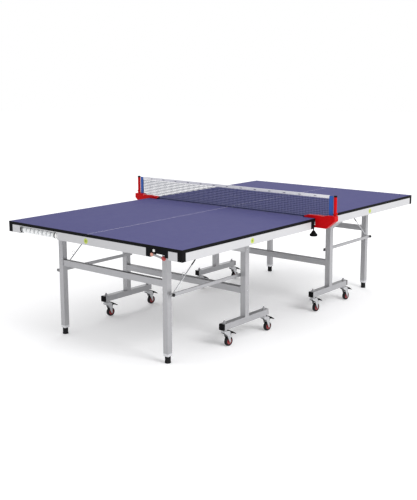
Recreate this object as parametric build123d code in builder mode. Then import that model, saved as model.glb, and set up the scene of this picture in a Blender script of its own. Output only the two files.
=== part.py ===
"""A roll-away table tennis table in two halves that fold up on their own wheeled carriages.

Millimetres, +Z up. The origin is on the floor under the middle of the table, X runs along its
length and Y across it. The left half is modelled here; the right one is the same half turned
half a turn about Z. Each top turns up about pivot A on its uprights while the leg frame hangs
upright from pivot B, held parallel by link bars between pivots C and D.
"""

import os
from math import atan2, cos, degrees, hypot, sin

from build123d import *

os.makedirs("parts", exist_ok=True)

# The playing top
TABLE_LENGTH = 2740
TABLE_WIDTH = 1525
TABLE_HEIGHT = 760
BOARD_THICKNESS = 19
EDGE_BAND = 2
SEAM = 6
END = TABLE_LENGTH / 2
SIDE = TABLE_WIDTH / 2
BOARD_BOTTOM = TABLE_HEIGHT - BOARD_THICKNESS
NET_EDGE = SEAM / 2

# The steel frame under the board
APRON_HEIGHT = 50
APRON_DEPTH = 20
APRON_BOTTOM = BOARD_BOTTOM - APRON_HEIGHT
APRON_INSET = 0.5
SHEET = 2
JOINT_GAP = 0.1
SLOT_ABOVE_TUBE = 1
GUARD_ALONG_SIDE = 30
GUARD_ALONG_END = 36
NET_GUARD = (43, 83)
CROSS_DEPTH = 18
CROSS_MEMBERS = ((1197, 1157), (838, 798), (553, 493), (125, 85))

# The four pivots of the folding parallelogram, and the stay's pivot, as distances from the middle
UPRIGHT_X = 513
LEG_X = 1172
PIVOT_Z = 700
LINK_DROP = 272.5
LINK_Z = PIVOT_Z - LINK_DROP
STAY_X = 818
STAY_Z = 712
STAY_FOOT_X = 1144
STAY_FOOT_Z = 435
PIN_R = 5
STAY_PIN_R = 3
RUNNING = 0.05
STEM_PLAY = 0.1
SIDE_PLAY = 0.4

# Where the layers lie across the table, each as (inner face, outer face)
LEG_LAYER = (445, 483)
STAY_LAYER = (490, 498)
LINK_LAYER = (505, 513)
UPRIGHT_LAYER = (520, 560)
EAR = 3
HEAD = 2
UPRIGHT_EAR = (20, 9)
LEG_EAR = (19, 8)
STAY_EAR = (9, 6)

# Carriage
UPRIGHT = UPRIGHT_LAYER[1] - UPRIGHT_LAYER[0]
CARRIAGE_Y = sum(UPRIGHT_LAYER) / 2
RAIL_BOTTOM = 116
RAIL_TOP = 156
RAIL_ENDS = (755, 276)
RAIL_CAPS = (12, 2)
CAP_RING = 12
CARRIAGE_BAR = (310, 350)
BRACKET_REACH = 740
BRACKET_LOW = (587, 628)
BRACKET_KNEE_X = 700
BRACKET_SIDE_INSET = 2
STOP_GAP = 0.3
STEM_SPACING = 422
STEM_R = 6
STEM_BOTTOM = 95
RACE_R = 16
NUT_R = 9.5
NUT_HEIGHT = 10
STUD_INNER_FACE = 503
PLUG_PLAY = 0.2
CAP_PLUG = 6

# Leg frame
LEG = LEG_LAYER[1] - LEG_LAYER[0]
LEG_Y = sum(LEG_LAYER) / 2
LEG_BAR = (469, 509)
LEG_BAR_DEPTH = 30
FOOT_HEIGHT = 43
FOOT_R = 19
COLLAR_BOTTOM = 43.5
COLLAR_TOP = 60
LEG_PLUG = 28
FOOT_STEM_R = 6
FOOT_STEM_TOP = 85
STUD_OUTER_FACE = 519
STUD_CAP_FACE = 521
STUD_CAP_R = 10

# Link bars and stays
LINK_HALF = 11
LINK_TIP = 25
STAY_WIRE_R = 3.5
STAY_EYE_R = 8
STAY_SLEEVE = (20, 215)
STAY_SLEEVE_R = 4
LOOP_AT = 300
LOOP_R = 12.5
LOOP_WIRE_R = 1.5
LOOP_STANDS = 2

# Casters, measured from the stem along the way the wheel trails
WHEEL_R = 31
WHEEL_WIDTH = 22
TRAIL = 37
CASTER_TURN = -5
TREAD_ROUND = 4
HUB_HALF = 13
HUB_R = 9
FORK_TOP = 104.9
FORK_PLATE = (15, 17)
AXLE_R = 4
AXLE_HEAD = 19
AXLE_HEAD_R = 5
FORK_BOSS_R = 6.5
PEDAL_PIVOT = (30, 86)
PEDAL_PIN_R = 3
PEDAL_HALF = 11
TREAD_HALF = 19

# Ball tube and end latch
TUBE_R = 22.5
TUBE_WALL = 1.8
TUBE_X = END - APRON_INSET - TUBE_R
TUBE_Z = APRON_BOTTOM + TUBE_R
TUBE_SPAN = (292, 640)
BALL_R = 20
BALL_COUNT = 8
BALL_GAP = 0.1
TUBE_STOP = 10
LATCH_SPAN = (486, 658)
HOUSING_FACE = -END + 2
HOUSING_BACK = -END + 27
HOUSING_WEB = 4
HOUSING_ROOF = 720
HOUSING_BACK_BOTTOM = 708
TUBE_SIDE_CHEEK = 519
CORNER_CHEEK = (630, 700)
RIB = ((-515, 717), (-634, 712))
RIB_LAYER = (-END + 16, -END + 19)
RIB_HALF = 2.5
LEVER_PIVOT = (-530, 706)
LEVER_PIN_R = 4
LEVER_CAP_R = 10
LEVER_CAP = 6
LEVER_EYE_R = 8.5
LEVER_HALF = 6
LEVER_LAYER = (-END + 8, -END + 12)
LEVER_KNOB = (-612.5, 692)
LEVER_KNOB_R = 14
PIN_WEB = (9, 696, 710)
BUTTON_AT = (-547.5, 731)
BUTTON = 15
BUTTON_ROUND = 3
BUTTON_CHAMFER = 0.8
BUTTON_LENGTH = 22
BUTTON_SLOT = (8, 40)

# Net and its clamps, which sit on the left half's net edge
NET_X = 4
NET_HALF = 879
NET_BOTTOM = 764
TAPE = (898, 919)
POST_Y = 896.5
POST_R = 12
POST_TOP = 921
POST_CHAMFER = 2
TAPE_HALF = 852
TAPE_THICKNESS = 4
NET_THICKNESS = 2
COVER = (763, 912)
COVER_BOTTOM = 698
COVER_TOP = 786
COVER_NET_SIDE_X = 10
CLAMP_X = (36, 6)
ARM_TIP = 668
ARM_TIP_TOP = 768
ARM_BOTTOM = 760.4
JAW_TIP = 722
JAW_THICKNESS = 12
CLAMP_SCREW = (20, 742)
SCREW_R = 4
PAD_R = 9
PAD_BOTTOM = 734
PAD_TOP = 740.6
HAND_WHEEL = (636, 650)
HAND_WHEEL_R = 26
HAND_WHEEL_ROUND = 3
HUB_CONE = (22, 9, 22)


def box_between(low, high, mode=Mode.ADD):
    """A box between two opposite corners, given in any order."""
    with Locations(tuple((a + b) / 2 for a, b in zip(low, high))):
        Box(*[abs(a - b) for a, b in zip(low, high)], mode=mode)


def pin_across(x, z, span, radius, mode=Mode.ADD):
    """A round bar along Y, from span[0] to span[1]."""
    with Locations(Location((x, sum(span) / 2, z), (90, 0, 0))):
        Cylinder(radius, abs(span[1] - span[0]), mode=mode)


def post(x, y, span, radius, mode=Mode.ADD):
    """A round bar along Z, from span[0] to span[1]."""
    with Locations((x, y, sum(span) / 2)):
        Cylinder(radius, abs(span[1] - span[0]), mode=mode)


def plate_across(points, span, mode=Mode.ADD):
    """A flat outline in X and Z, carried along Y from span[0] to span[1]."""
    with BuildSketch(Plane.XZ.offset(-max(span))) as outline:
        with BuildLine():
            Polyline(*points, close=True)
        make_face()
    extrude(outline.sketch, amount=abs(span[1] - span[0]), mode=mode)


def plate_along(points, span, mode=Mode.ADD):
    """A flat outline in Y and Z, carried along X from span[0] to span[1]."""
    with BuildSketch(Plane.YZ.offset(min(span))) as outline:
        with BuildLine():
            Polyline(*points, close=True)
        make_face()
    extrude(outline.sketch, amount=abs(span[1] - span[0]), mode=mode)


def on_side(side, span):
    """A span across the table, on the front side (-1) or the back side (1)."""
    return tuple(side * y for y in span)


def export_piece(name, piece):
    """One labelled node in its own file."""
    piece.label = name
    export_step(piece, f"parts/{name}.step")


def export_halves(name, piece):
    """The left half's piece, and the right half's, turned half a turn about the middle."""
    export_piece(f"left_{name}", piece)
    export_piece(f"right_{name}", Rot(0, 0, 180) * piece)


# ---------------------------------------------------------------- playing board
with BuildPart() as board:
    box_between(
        (-END + EDGE_BAND, -SIDE + EDGE_BAND, BOARD_BOTTOM),
        (-NET_EDGE - EDGE_BAND, SIDE - EDGE_BAND, TABLE_HEIGHT),
    )
export_halves("board", board.part)

# ------------------------------------------- plastic edge band and corner guards
with BuildPart() as edge_trim:
    for x in (-END, -NET_EDGE - EDGE_BAND):
        box_between((x, -SIDE, BOARD_BOTTOM), (x + EDGE_BAND, SIDE, TABLE_HEIGHT))
    for side in (-1, 1):
        box_between(
            (-END + EDGE_BAND + JOINT_GAP, side * SIDE, BOARD_BOTTOM),
            (-NET_EDGE - EDGE_BAND - JOINT_GAP, side * (SIDE - EDGE_BAND), TABLE_HEIGHT),
        )
        box_between(
            (-NET_GUARD[0], side * SIDE, APRON_BOTTOM),
            (-NET_GUARD[1], side * (SIDE - APRON_DEPTH), BOARD_BOTTOM - JOINT_GAP),
        )
        box_between(
            (-END, side * SIDE, APRON_BOTTOM),
            (-END + APRON_DEPTH, side * (SIDE - GUARD_ALONG_END), BOARD_BOTTOM - JOINT_GAP),
        )
        box_between(
            (-END + APRON_DEPTH, side * SIDE, APRON_BOTTOM),
            (-END + GUARD_ALONG_SIDE, side * (SIDE - APRON_DEPTH), BOARD_BOTTOM - JOINT_GAP),
        )
export_halves("edge_trim", edge_trim.part)

# ----------------------------------- aprons, cross members and pivot brackets
APRON_TOP = BOARD_BOTTOM - JOINT_GAP
CROSS_BOTTOM = BOARD_BOTTOM - CROSS_DEPTH
END_FACE = -END + APRON_INSET
CORNER_Y = SIDE - GUARD_ALONG_END - JOINT_GAP
END_APRONS = (
    (-CORNER_Y, -LATCH_SPAN[1] - JOINT_GAP),
    (-LATCH_SPAN[0] + JOINT_GAP, TUBE_SPAN[0] - CAP_RING - JOINT_GAP),
    (TUBE_SPAN[1] + TUBE_STOP + JOINT_GAP, CORNER_Y),
)


def pivot_bracket(x, z, layer, pin_radius, radius, head_radius):
    """Two ears down each side of a member, and the bolt through them that it turns on."""
    for side in (-1, 1):
        inner = (layer[0] - SIDE_PLAY - EAR, layer[0] - SIDE_PLAY)
        outer = (layer[1] + SIDE_PLAY, layer[1] + SIDE_PLAY + EAR)
        for ear in (inner, outer):
            box_between(
                (x - radius, side * ear[0], z),
                (x + radius, side * ear[1], CROSS_BOTTOM - JOINT_GAP),
            )
            pin_across(x, z, on_side(side, ear), radius)
        pin_across(x, z, on_side(side, (inner[0] - HEAD, outer[1] + HEAD)), pin_radius)
        pin_across(x, z, on_side(side, (inner[0] - HEAD, inner[0])), head_radius)
        pin_across(x, z, on_side(side, (outer[1], outer[1] + HEAD)), head_radius)


with BuildPart() as apron_frame:
    for side in (-1, 1):
        face = side * (SIDE - APRON_INSET)
        back = side * (SIDE - APRON_INSET - APRON_DEPTH)
        box_between(
            (-END + GUARD_ALONG_SIDE + JOINT_GAP, face, APRON_BOTTOM),
            (-NET_GUARD[1] - JOINT_GAP, back, APRON_TOP),
        )
        box_between(
            (-END, face - side * SHEET, APRON_BOTTOM + SHEET),
            (0, back, APRON_TOP - SHEET),
            mode=Mode.SUBTRACT,
        )
    for span in END_APRONS:
        box_between((END_FACE, span[0], APRON_BOTTOM), (END_FACE + APRON_DEPTH, span[1], APRON_TOP))
        box_between(
            (END_FACE + SHEET, span[0], APRON_BOTTOM + SHEET),
            (END_FACE + APRON_DEPTH, span[1], APRON_TOP - SHEET),
            mode=Mode.SUBTRACT,
        )
    box_between(
        (END_FACE, END_APRONS[1][1] + JOINT_GAP, TUBE_Z + TUBE_R + SLOT_ABOVE_TUBE),
        (END_FACE + APRON_DEPTH, END_APRONS[2][0] - JOINT_GAP, APRON_TOP),
    )
    reach = SIDE - APRON_INSET - APRON_DEPTH - JOINT_GAP
    for outer_x, inner_x in CROSS_MEMBERS:
        box_between((-outer_x, -reach, CROSS_BOTTOM), (-inner_x, reach, APRON_TOP))
        box_between(
            (-outer_x + SHEET, -reach, CROSS_BOTTOM + SHEET),
            (-inner_x - SHEET, reach, APRON_TOP),
            mode=Mode.SUBTRACT,
        )
    pivot_bracket(-UPRIGHT_X, PIVOT_Z, UPRIGHT_LAYER, PIN_R, *UPRIGHT_EAR)
    pivot_bracket(-LEG_X, PIVOT_Z, LEG_LAYER, PIN_R, *LEG_EAR)
    pivot_bracket(-STAY_X, STAY_Z, STAY_LAYER, STAY_PIN_R, *STAY_EAR)
export_halves("apron_frame", apron_frame.part)

# -------------------------------------------- ball store in the end apron
with BuildPart() as ball_tube:
    pin_across(-TUBE_X, TUBE_Z, TUBE_SPAN, TUBE_R)
    pin_across(-TUBE_X, TUBE_Z, TUBE_SPAN, TUBE_R - TUBE_WALL, mode=Mode.SUBTRACT)
export_halves("ball_tube", ball_tube.part)

BALL_PITCH = 2 * BALL_R + BALL_GAP
BALL_DROP = TUBE_R - TUBE_WALL - BALL_R - BALL_GAP
LAST_BALL_Y = TUBE_SPAN[1] - BALL_R - SHEET
with BuildPart() as balls:
    with Locations(
        [
            (-TUBE_X, LAST_BALL_Y - i * BALL_PITCH, TUBE_Z - BALL_DROP)
            for i in range(BALL_COUNT)
        ]
    ):
        Sphere(BALL_R)
export_halves("balls", balls.part)

# -------------------- tube ends, and the housing of the latch beside them


def bar_between(start, end, half_width, span):
    """A flat bar with round ends between two points in Y and Z, carried along X."""
    length = hypot(end[0] - start[0], end[1] - start[1])
    turn = degrees(atan2(end[1] - start[1], end[0] - start[0]))
    middle = ((start[0] + end[0]) / 2, (start[1] + end[1]) / 2)
    with BuildSketch(Plane.YZ.offset(min(span))) as outline:
        with Locations(Location((*middle, 0), (0, 0, turn))):
            SlotCenterToCenter(length, 2 * half_width)
    extrude(outline.sketch, amount=abs(span[1] - span[0]))


with BuildPart() as end_fittings:
    pin_across(-TUBE_X, TUBE_Z, (TUBE_SPAN[0] - CAP_RING, TUBE_SPAN[0] - JOINT_GAP), TUBE_R)
    pin_across(-TUBE_X, TUBE_Z, (TUBE_SPAN[1] + JOINT_GAP, TUBE_SPAN[1] + TUBE_STOP), TUBE_R)
    box_between(
        (HOUSING_FACE + 1, -LATCH_SPAN[1], HOUSING_ROOF), (HOUSING_BACK, -LATCH_SPAN[0], APRON_TOP)
    )
    box_between(
        (HOUSING_FACE, -TUBE_SIDE_CHEEK, APRON_BOTTOM), (HOUSING_BACK, -LATCH_SPAN[0], APRON_TOP)
    )
    box_between(
        (HOUSING_FACE, -LATCH_SPAN[1], CORNER_CHEEK[1]), (HOUSING_BACK, -CORNER_CHEEK[0], APRON_TOP)
    )
    box_between(
        (HOUSING_BACK, -LATCH_SPAN[1], HOUSING_BACK_BOTTOM),
        (HOUSING_BACK + HOUSING_WEB, -LATCH_SPAN[0], APRON_TOP),
    )
    box_between(
        (-END, BUTTON_AT[0] - BUTTON_SLOT[0], BUTTON_AT[1] - BUTTON_SLOT[0]),
        (-END + BUTTON_SLOT[1], BUTTON_AT[0] + BUTTON_SLOT[0], BUTTON_AT[1] + BUTTON_SLOT[0]),
        mode=Mode.SUBTRACT,
    )
    bar_between(*RIB, RIB_HALF, RIB_LAYER)
    # The housing's rear web also carries the lever's pivot pin and its round cap.
    box_between(
        (HOUSING_BACK, LEVER_PIVOT[0] - PIN_WEB[0], PIN_WEB[1]),
        (HOUSING_BACK + HOUSING_WEB, LEVER_PIVOT[0] + PIN_WEB[0], PIN_WEB[2]),
    )
    with Locations(Location((0, *LEVER_PIVOT), (0, 90, 0))):
        with Locations((0, 0, (HOUSING_FACE + HOUSING_BACK) / 2)):
            Cylinder(LEVER_PIN_R, HOUSING_BACK - HOUSING_FACE)
        with Locations((0, 0, -END + 1 + LEVER_CAP / 2)):
            Cylinder(LEVER_CAP_R, LEVER_CAP)
export_halves("end_fittings", end_fittings.part)

with BuildPart() as release_lever:
    bar_between(LEVER_PIVOT, LEVER_KNOB, LEVER_HALF, LEVER_LAYER)
    with Locations(Location((sum(LEVER_LAYER) / 2, *LEVER_PIVOT), (0, 90, 0))):
        Cylinder(LEVER_EYE_R, LEVER_LAYER[1] - LEVER_LAYER[0])
        Cylinder(LEVER_PIN_R + RUNNING, LEVER_EYE_R, mode=Mode.SUBTRACT)
    with Locations((-END + LEVER_KNOB_R, *LEVER_KNOB)):
        Sphere(LEVER_KNOB_R)
export_halves("release_lever", release_lever.part)

with BuildPart() as lock_button:
    with BuildSketch(Plane.YZ.offset(-END)) as face:
        with Locations(BUTTON_AT):
            RectangleRounded(BUTTON, BUTTON, BUTTON_ROUND)
    extrude(amount=BUTTON_LENGTH)
    chamfer(lock_button.faces().sort_by(Axis.X)[0].edges(), BUTTON_CHAMFER)
export_halves("lock_button", lock_button.part)

# --------------------------------- carriage: uprights, rails, bar and brackets
STEMS = [-UPRIGHT_X - STEM_SPACING / 2, -UPRIGHT_X + STEM_SPACING / 2]
RACE_BOTTOM = FORK_TOP + STOP_GAP
NUT_BOTTOM = RAIL_TOP + JOINT_GAP
NUT_TOP = NUT_BOTTOM + NUT_HEIGHT
with BuildPart() as carriage_frame:
    for side in (-1, 1):
        layer = on_side(side, UPRIGHT_LAYER)
        wall = on_side(side, (UPRIGHT_LAYER[0] + SHEET, UPRIGHT_LAYER[1] - SHEET))
        # upright tube, its end cut to a half round about pivot A
        box_between(
            (-UPRIGHT_X - UPRIGHT / 2, layer[0], RAIL_TOP + JOINT_GAP),
            (-UPRIGHT_X + UPRIGHT / 2, layer[1], PIVOT_Z),
        )
        pin_across(-UPRIGHT_X, PIVOT_Z, layer, UPRIGHT / 2)
        box_between(
            (-UPRIGHT_X - UPRIGHT / 2 + SHEET, wall[0], RAIL_TOP),
            (-UPRIGHT_X + UPRIGHT / 2 - SHEET, wall[1], PIVOT_Z + UPRIGHT),
            mode=Mode.SUBTRACT,
        )
        pin_across(-UPRIGHT_X, PIVOT_Z, layer, PIN_R + RUNNING, mode=Mode.SUBTRACT)
        # rail along the floor, hollow, drilled for the two caster stems
        rail = [-RAIL_ENDS[0] + RAIL_CAPS[0], -RAIL_ENDS[1] - RAIL_CAPS[1]]
        box_between((rail[0], layer[0], RAIL_BOTTOM), (rail[1], layer[1], RAIL_TOP))
        box_between(
            (rail[0], wall[0], RAIL_BOTTOM + SHEET),
            (rail[1], wall[1], RAIL_TOP - SHEET),
            mode=Mode.SUBTRACT,
        )
        for x in STEMS:
            y = side * CARRIAGE_Y
            post(x, y, (RAIL_BOTTOM - 1, RAIL_TOP + 1), STEM_R + JOINT_GAP, mode=Mode.SUBTRACT)
            post(x, y, (STEM_BOTTOM, NUT_TOP + STEM_R), STEM_R)
            post(x, y, (RACE_BOTTOM, RAIL_BOTTOM - JOINT_GAP), RACE_R)
            with BuildSketch(Plane.XY.offset(NUT_BOTTOM)) as nut:
                with Locations((x, y)):
                    RegularPolygon(NUT_R, 6)
            extrude(nut.sketch, amount=NUT_HEIGHT)
            with Locations((x, y, NUT_TOP + STEM_R / 2)):
                Sphere(STEM_R + 0.5)
        # folded bracket on the outboard face, which the top comes down on
        root = -UPRIGHT_X - UPRIGHT / 2 - JOINT_GAP
        top = CROSS_BOTTOM - STOP_GAP
        for lift, inset, mode in ((0, 0, Mode.ADD), (SHEET + 1, SHEET, Mode.SUBTRACT)):
            low, knee = (z + lift for z in BRACKET_LOW)
            across = (
                UPRIGHT_LAYER[0] + BRACKET_SIDE_INSET + inset,
                UPRIGHT_LAYER[1] - BRACKET_SIDE_INSET - inset,
            )
            plate_across(
                [(root, low), (root, top), (-BRACKET_REACH, top), (-BRACKET_KNEE_X, knee)],
                on_side(side, across),
                mode=mode,
            )
        # stud for the link bar's lower pivot D
        pin_across(-UPRIGHT_X, LINK_Z, on_side(side, (STUD_INNER_FACE, UPRIGHT_LAYER[0] - JOINT_GAP)), PIN_R)
    bar = UPRIGHT_LAYER[0] - JOINT_GAP
    box_between(
        (-UPRIGHT_X - UPRIGHT / 2, -bar, CARRIAGE_BAR[0]),
        (-UPRIGHT_X + UPRIGHT / 2, bar, CARRIAGE_BAR[1]),
    )
    box_between(
        (-UPRIGHT_X - UPRIGHT / 2 + SHEET, -bar, CARRIAGE_BAR[0] + SHEET),
        (-UPRIGHT_X + UPRIGHT / 2 - SHEET, bar, CARRIAGE_BAR[1] - SHEET),
        mode=Mode.SUBTRACT,
    )
export_halves("carriage_frame", carriage_frame.part)

with BuildPart() as carriage_caps:
    for side in (-1, 1):
        layer = on_side(side, UPRIGHT_LAYER)
        wall = SHEET + PLUG_PLAY
        plug = on_side(side, (UPRIGHT_LAYER[0] + wall, UPRIGHT_LAYER[1] - wall))
        for end, depth, inward in zip(RAIL_ENDS, RAIL_CAPS, (1, -1)):
            x = -end
            cap = x + inward * (depth - JOINT_GAP)
            box_between((x, layer[0], RAIL_BOTTOM), (cap, layer[1], RAIL_TOP))
            box_between(
                (cap, plug[0], RAIL_BOTTOM + wall),
                (cap + inward * CAP_PLUG, plug[1], RAIL_TOP - wall),
            )
export_halves("carriage_caps", carriage_caps.part)

# ------------------------------------------------------ leg frame and feet
with BuildPart() as leg_frame:
    for side in (-1, 1):
        layer = on_side(side, LEG_LAYER)
        wall = on_side(side, (LEG_LAYER[0] + SHEET, LEG_LAYER[1] - SHEET))
        plug_wall = SHEET + JOINT_GAP
        plug = on_side(side, (LEG_LAYER[0] + plug_wall, LEG_LAYER[1] - plug_wall))
        box_between(
            (-LEG_X - LEG / 2, layer[0], COLLAR_TOP + JOINT_GAP), (-LEG_X + LEG / 2, layer[1], PIVOT_Z)
        )
        pin_across(-LEG_X, PIVOT_Z, layer, LEG / 2)
        box_between(
            (-LEG_X - LEG / 2 + SHEET, wall[0], COLLAR_TOP),
            (-LEG_X + LEG / 2 - SHEET, wall[1], PIVOT_Z + LEG),
            mode=Mode.SUBTRACT,
        )
        pin_across(-LEG_X, PIVOT_Z, layer, PIN_R + RUNNING, mode=Mode.SUBTRACT)
        # plug in the tube's lower end, threaded for the foot
        box_between(
            (-LEG_X - LEG / 2, layer[0], COLLAR_BOTTOM), (-LEG_X + LEG / 2, layer[1], COLLAR_TOP)
        )
        box_between(
            (-LEG_X - LEG / 2 + plug_wall, plug[0], COLLAR_TOP),
            (-LEG_X + LEG / 2 - plug_wall, plug[1], COLLAR_TOP + LEG_PLUG),
        )
        post(
            -LEG_X,
            side * LEG_Y,
            (FOOT_HEIGHT, COLLAR_TOP + LEG_PLUG + 1),
            FOOT_STEM_R + STEM_PLAY,
            mode=Mode.SUBTRACT,
        )
        # stud for the link bar's outer pivot C, with a round cap on its end
        stud = (LEG_LAYER[1] + JOINT_GAP, STUD_OUTER_FACE)
        pin_across(-LEG_X, LINK_Z, on_side(side, stud), PIN_R)
        cap = (LINK_LAYER[1] + SIDE_PLAY, STUD_CAP_FACE)
        pin_across(-LEG_X, LINK_Z, on_side(side, cap), STUD_CAP_R)
    half = LEG_LAYER[0] - JOINT_GAP
    box_between(
        (-LEG_X - LEG_BAR_DEPTH / 2, -half, LEG_BAR[0]), (-LEG_X + LEG_BAR_DEPTH / 2, half, LEG_BAR[1])
    )
    box_between(
        (-LEG_X - LEG_BAR_DEPTH / 2 + SHEET, -half, LEG_BAR[0] + SHEET),
        (-LEG_X + LEG_BAR_DEPTH / 2 - SHEET, half, LEG_BAR[1] - SHEET),
        mode=Mode.SUBTRACT,
    )
export_halves("leg_frame", leg_frame.part)

with BuildPart() as foot:
    post(0, 0, (0, FOOT_HEIGHT), FOOT_R)
    chamfer(foot.edges().filter_by(GeomType.CIRCLE).sort_by(Axis.Z)[0], 2)
    chamfer(foot.edges().filter_by(GeomType.CIRCLE).sort_by(Axis.Z)[-1], 1)
    post(0, 0, (FOOT_HEIGHT, FOOT_STEM_TOP), FOOT_STEM_R)
for half, half_sign in (("left", -1), ("right", 1)):
    for place, side in (("front", -1), ("back", 1)):
        export_piece(f"{half}_foot_{place}", Pos(half_sign * LEG_X, side * LEG_Y, 0) * foot.part)

# ------------------------------------------------ link bars and folding stays
with BuildPart() as link_bars:
    for side in (-1, 1):
        layer = on_side(side, LINK_LAYER)
        box_between(
            (-LEG_X, layer[0], LINK_Z - LINK_HALF), (-UPRIGHT_X + LINK_TIP, layer[1], LINK_Z + LINK_HALF)
        )
        pin_across(-LEG_X, LINK_Z, layer, LINK_HALF)
        for x in (-LEG_X, -UPRIGHT_X):
            pin_across(x, LINK_Z, layer, PIN_R + RUNNING, mode=Mode.SUBTRACT)
export_halves("link_bars", link_bars.part)

STAY_SLOPE = atan2(STAY_Z - STAY_FOOT_Z, STAY_FOOT_X - STAY_X)
STAY_LENGTH = hypot(STAY_Z - STAY_FOOT_Z, STAY_FOOT_X - STAY_X)
STAY_DOWN = Vector(-cos(STAY_SLOPE), 0, -sin(STAY_SLOPE))
with BuildPart() as leg_struts:
    for side in (-1, 1):
        middle = side * sum(STAY_LAYER) / 2
        eye = Vector(-STAY_X, middle, STAY_Z)
        # the wire, and the thicker sleeve round its upper part
        wire = (STAY_EYE_R - SHEET, STAY_LENGTH)
        for (start, end), radius in ((wire, STAY_WIRE_R), (STAY_SLEEVE, STAY_SLEEVE_R)):
            centre = eye + STAY_DOWN * ((start + end) / 2)
            with Locations(Plane(origin=centre, z_dir=STAY_DOWN)):
                Cylinder(radius, end - start)
        layer = on_side(side, STAY_LAYER)
        pin_across(-STAY_X, STAY_Z, layer, STAY_EYE_R)
        pin_across(-STAY_X, STAY_Z, layer, STAY_PIN_R + RUNNING, mode=Mode.SUBTRACT)
        # finger loop that stands square to the wire
        foot_of_loop = eye + STAY_DOWN * LOOP_AT
        square = Vector(-sin(STAY_SLOPE), 0, cos(STAY_SLOPE))
        with Locations(Location(foot_of_loop + square * (LOOP_R + LOOP_STANDS), (90, 0, 0))):
            Torus(LOOP_R, LOOP_WIRE_R)
export_halves("leg_struts", leg_struts.part)

# -------------------------------------------------------------- braked casters
with BuildPart() as fork:
    cheek = [(-15, FORK_TOP), (24, FORK_TOP), (40, 94), (43, WHEEL_R), (31, WHEEL_R), (10, 80)]
    cheek += [(-15, 92)]
    for side in (-1, 1):
        plate_across(cheek, on_side(side, FORK_PLATE))
        pin_across(TRAIL, WHEEL_R, on_side(side, FORK_PLATE), FORK_BOSS_R)
        pin_across(TRAIL, WHEEL_R, on_side(side, (FORK_PLATE[1], AXLE_HEAD)), AXLE_HEAD_R)
    box_between((-15, -FORK_PLATE[0], FORK_TOP - 8), (19, FORK_PLATE[0], FORK_TOP))
    post(0, 0, (STEM_BOTTOM - 2, FORK_TOP + 2), STEM_R + STEM_PLAY, mode=Mode.SUBTRACT)
    pin_across(TRAIL, WHEEL_R, (-FORK_PLATE[1], FORK_PLATE[1]), AXLE_R)
    pin_across(*PEDAL_PIVOT, (-FORK_PLATE[1], FORK_PLATE[1]), PEDAL_PIN_R)

with BuildPart() as wheel:
    pin_across(TRAIL, WHEEL_R, (-WHEEL_WIDTH / 2, WHEEL_WIDTH / 2), WHEEL_R)
    fillet(wheel.edges().filter_by(GeomType.CIRCLE), TREAD_ROUND)
    pin_across(TRAIL, WHEEL_R, (-HUB_HALF, HUB_HALF), HUB_R)
    pin_across(TRAIL, WHEEL_R, (-HUB_HALF, HUB_HALF), AXLE_R + RUNNING, mode=Mode.SUBTRACT)

with BuildPart() as pedal:
    # the body between the cheeks, with the brake shoe below it
    body = [(22.5, 104), (40, 103), (62, 92), (89, 75), (87, 71), (62, 80), (50, 78)]
    body += [(50, 65.5), (34, 65.5), (34, 78), (22.5, 82)]
    plate_across(body, (-PEDAL_HALF, PEDAL_HALF))
    # the wide tread that the toe presses
    tread = [(54, 95.9), (62, 92), (89, 75), (87, 71), (62, 80)]
    plate_across(tread, (-TREAD_HALF, TREAD_HALF))
    bore = (-PEDAL_HALF - 1, PEDAL_HALF + 1)
    pin_across(*PEDAL_PIVOT, bore, PEDAL_PIN_R + RUNNING, mode=Mode.SUBTRACT)

for half, half_sign in (("left", -1), ("right", 1)):
    for reach_name, offset in (("outer", STEM_SPACING / 2), ("inner", -STEM_SPACING / 2)):
        for place, side in (("front", -1), ("back", 1)):
            x = half_sign * (UPRIGHT_X + offset)
            at = Location((x, side * CARRIAGE_Y, 0), (0, 0, CASTER_TURN))
            for name, piece in (("fork", fork), ("wheel", wheel), ("pedal", pedal)):
                export_piece(f"{half}_{reach_name}_{place}_{name}", at * piece.part)

# ------------------------------------------------------- net, posts and clamps
with BuildPart() as net:
    # over the covers, the net's ends start above them
    clear = (COVER[0] - 5, COVER_TOP + 1)
    tape_bottom = TAPE[0] - JOINT_GAP
    outline = [(0, NET_BOTTOM), (clear[0], NET_BOTTOM), clear]
    outline += [(NET_HALF, clear[1]), (NET_HALF, tape_bottom), (0, tape_bottom)]
    plate_along(outline, (-NET_X - NET_THICKNESS / 2, -NET_X + NET_THICKNESS / 2))
    mirror(about=Plane.XZ)
export_piece("net", net.part)

with BuildPart() as net_tape:
    box_between(
        (-NET_X - TAPE_THICKNESS / 2, -TAPE_HALF, TAPE[0]),
        (-NET_X + TAPE_THICKNESS / 2, TAPE_HALF, TAPE[1]),
    )
export_piece("net_tape", net_tape.part)

with BuildPart() as net_posts:
    for side in (-1, 1):
        post(-NET_X, side * POST_Y, (COVER_TOP + JOINT_GAP, POST_TOP), POST_R)
    rims = net_posts.edges().filter_by(GeomType.CIRCLE).group_by(Axis.Z)[-1]
    chamfer(rims, POST_CHAMFER)
export_piece("net_posts", net_posts.part)

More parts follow.
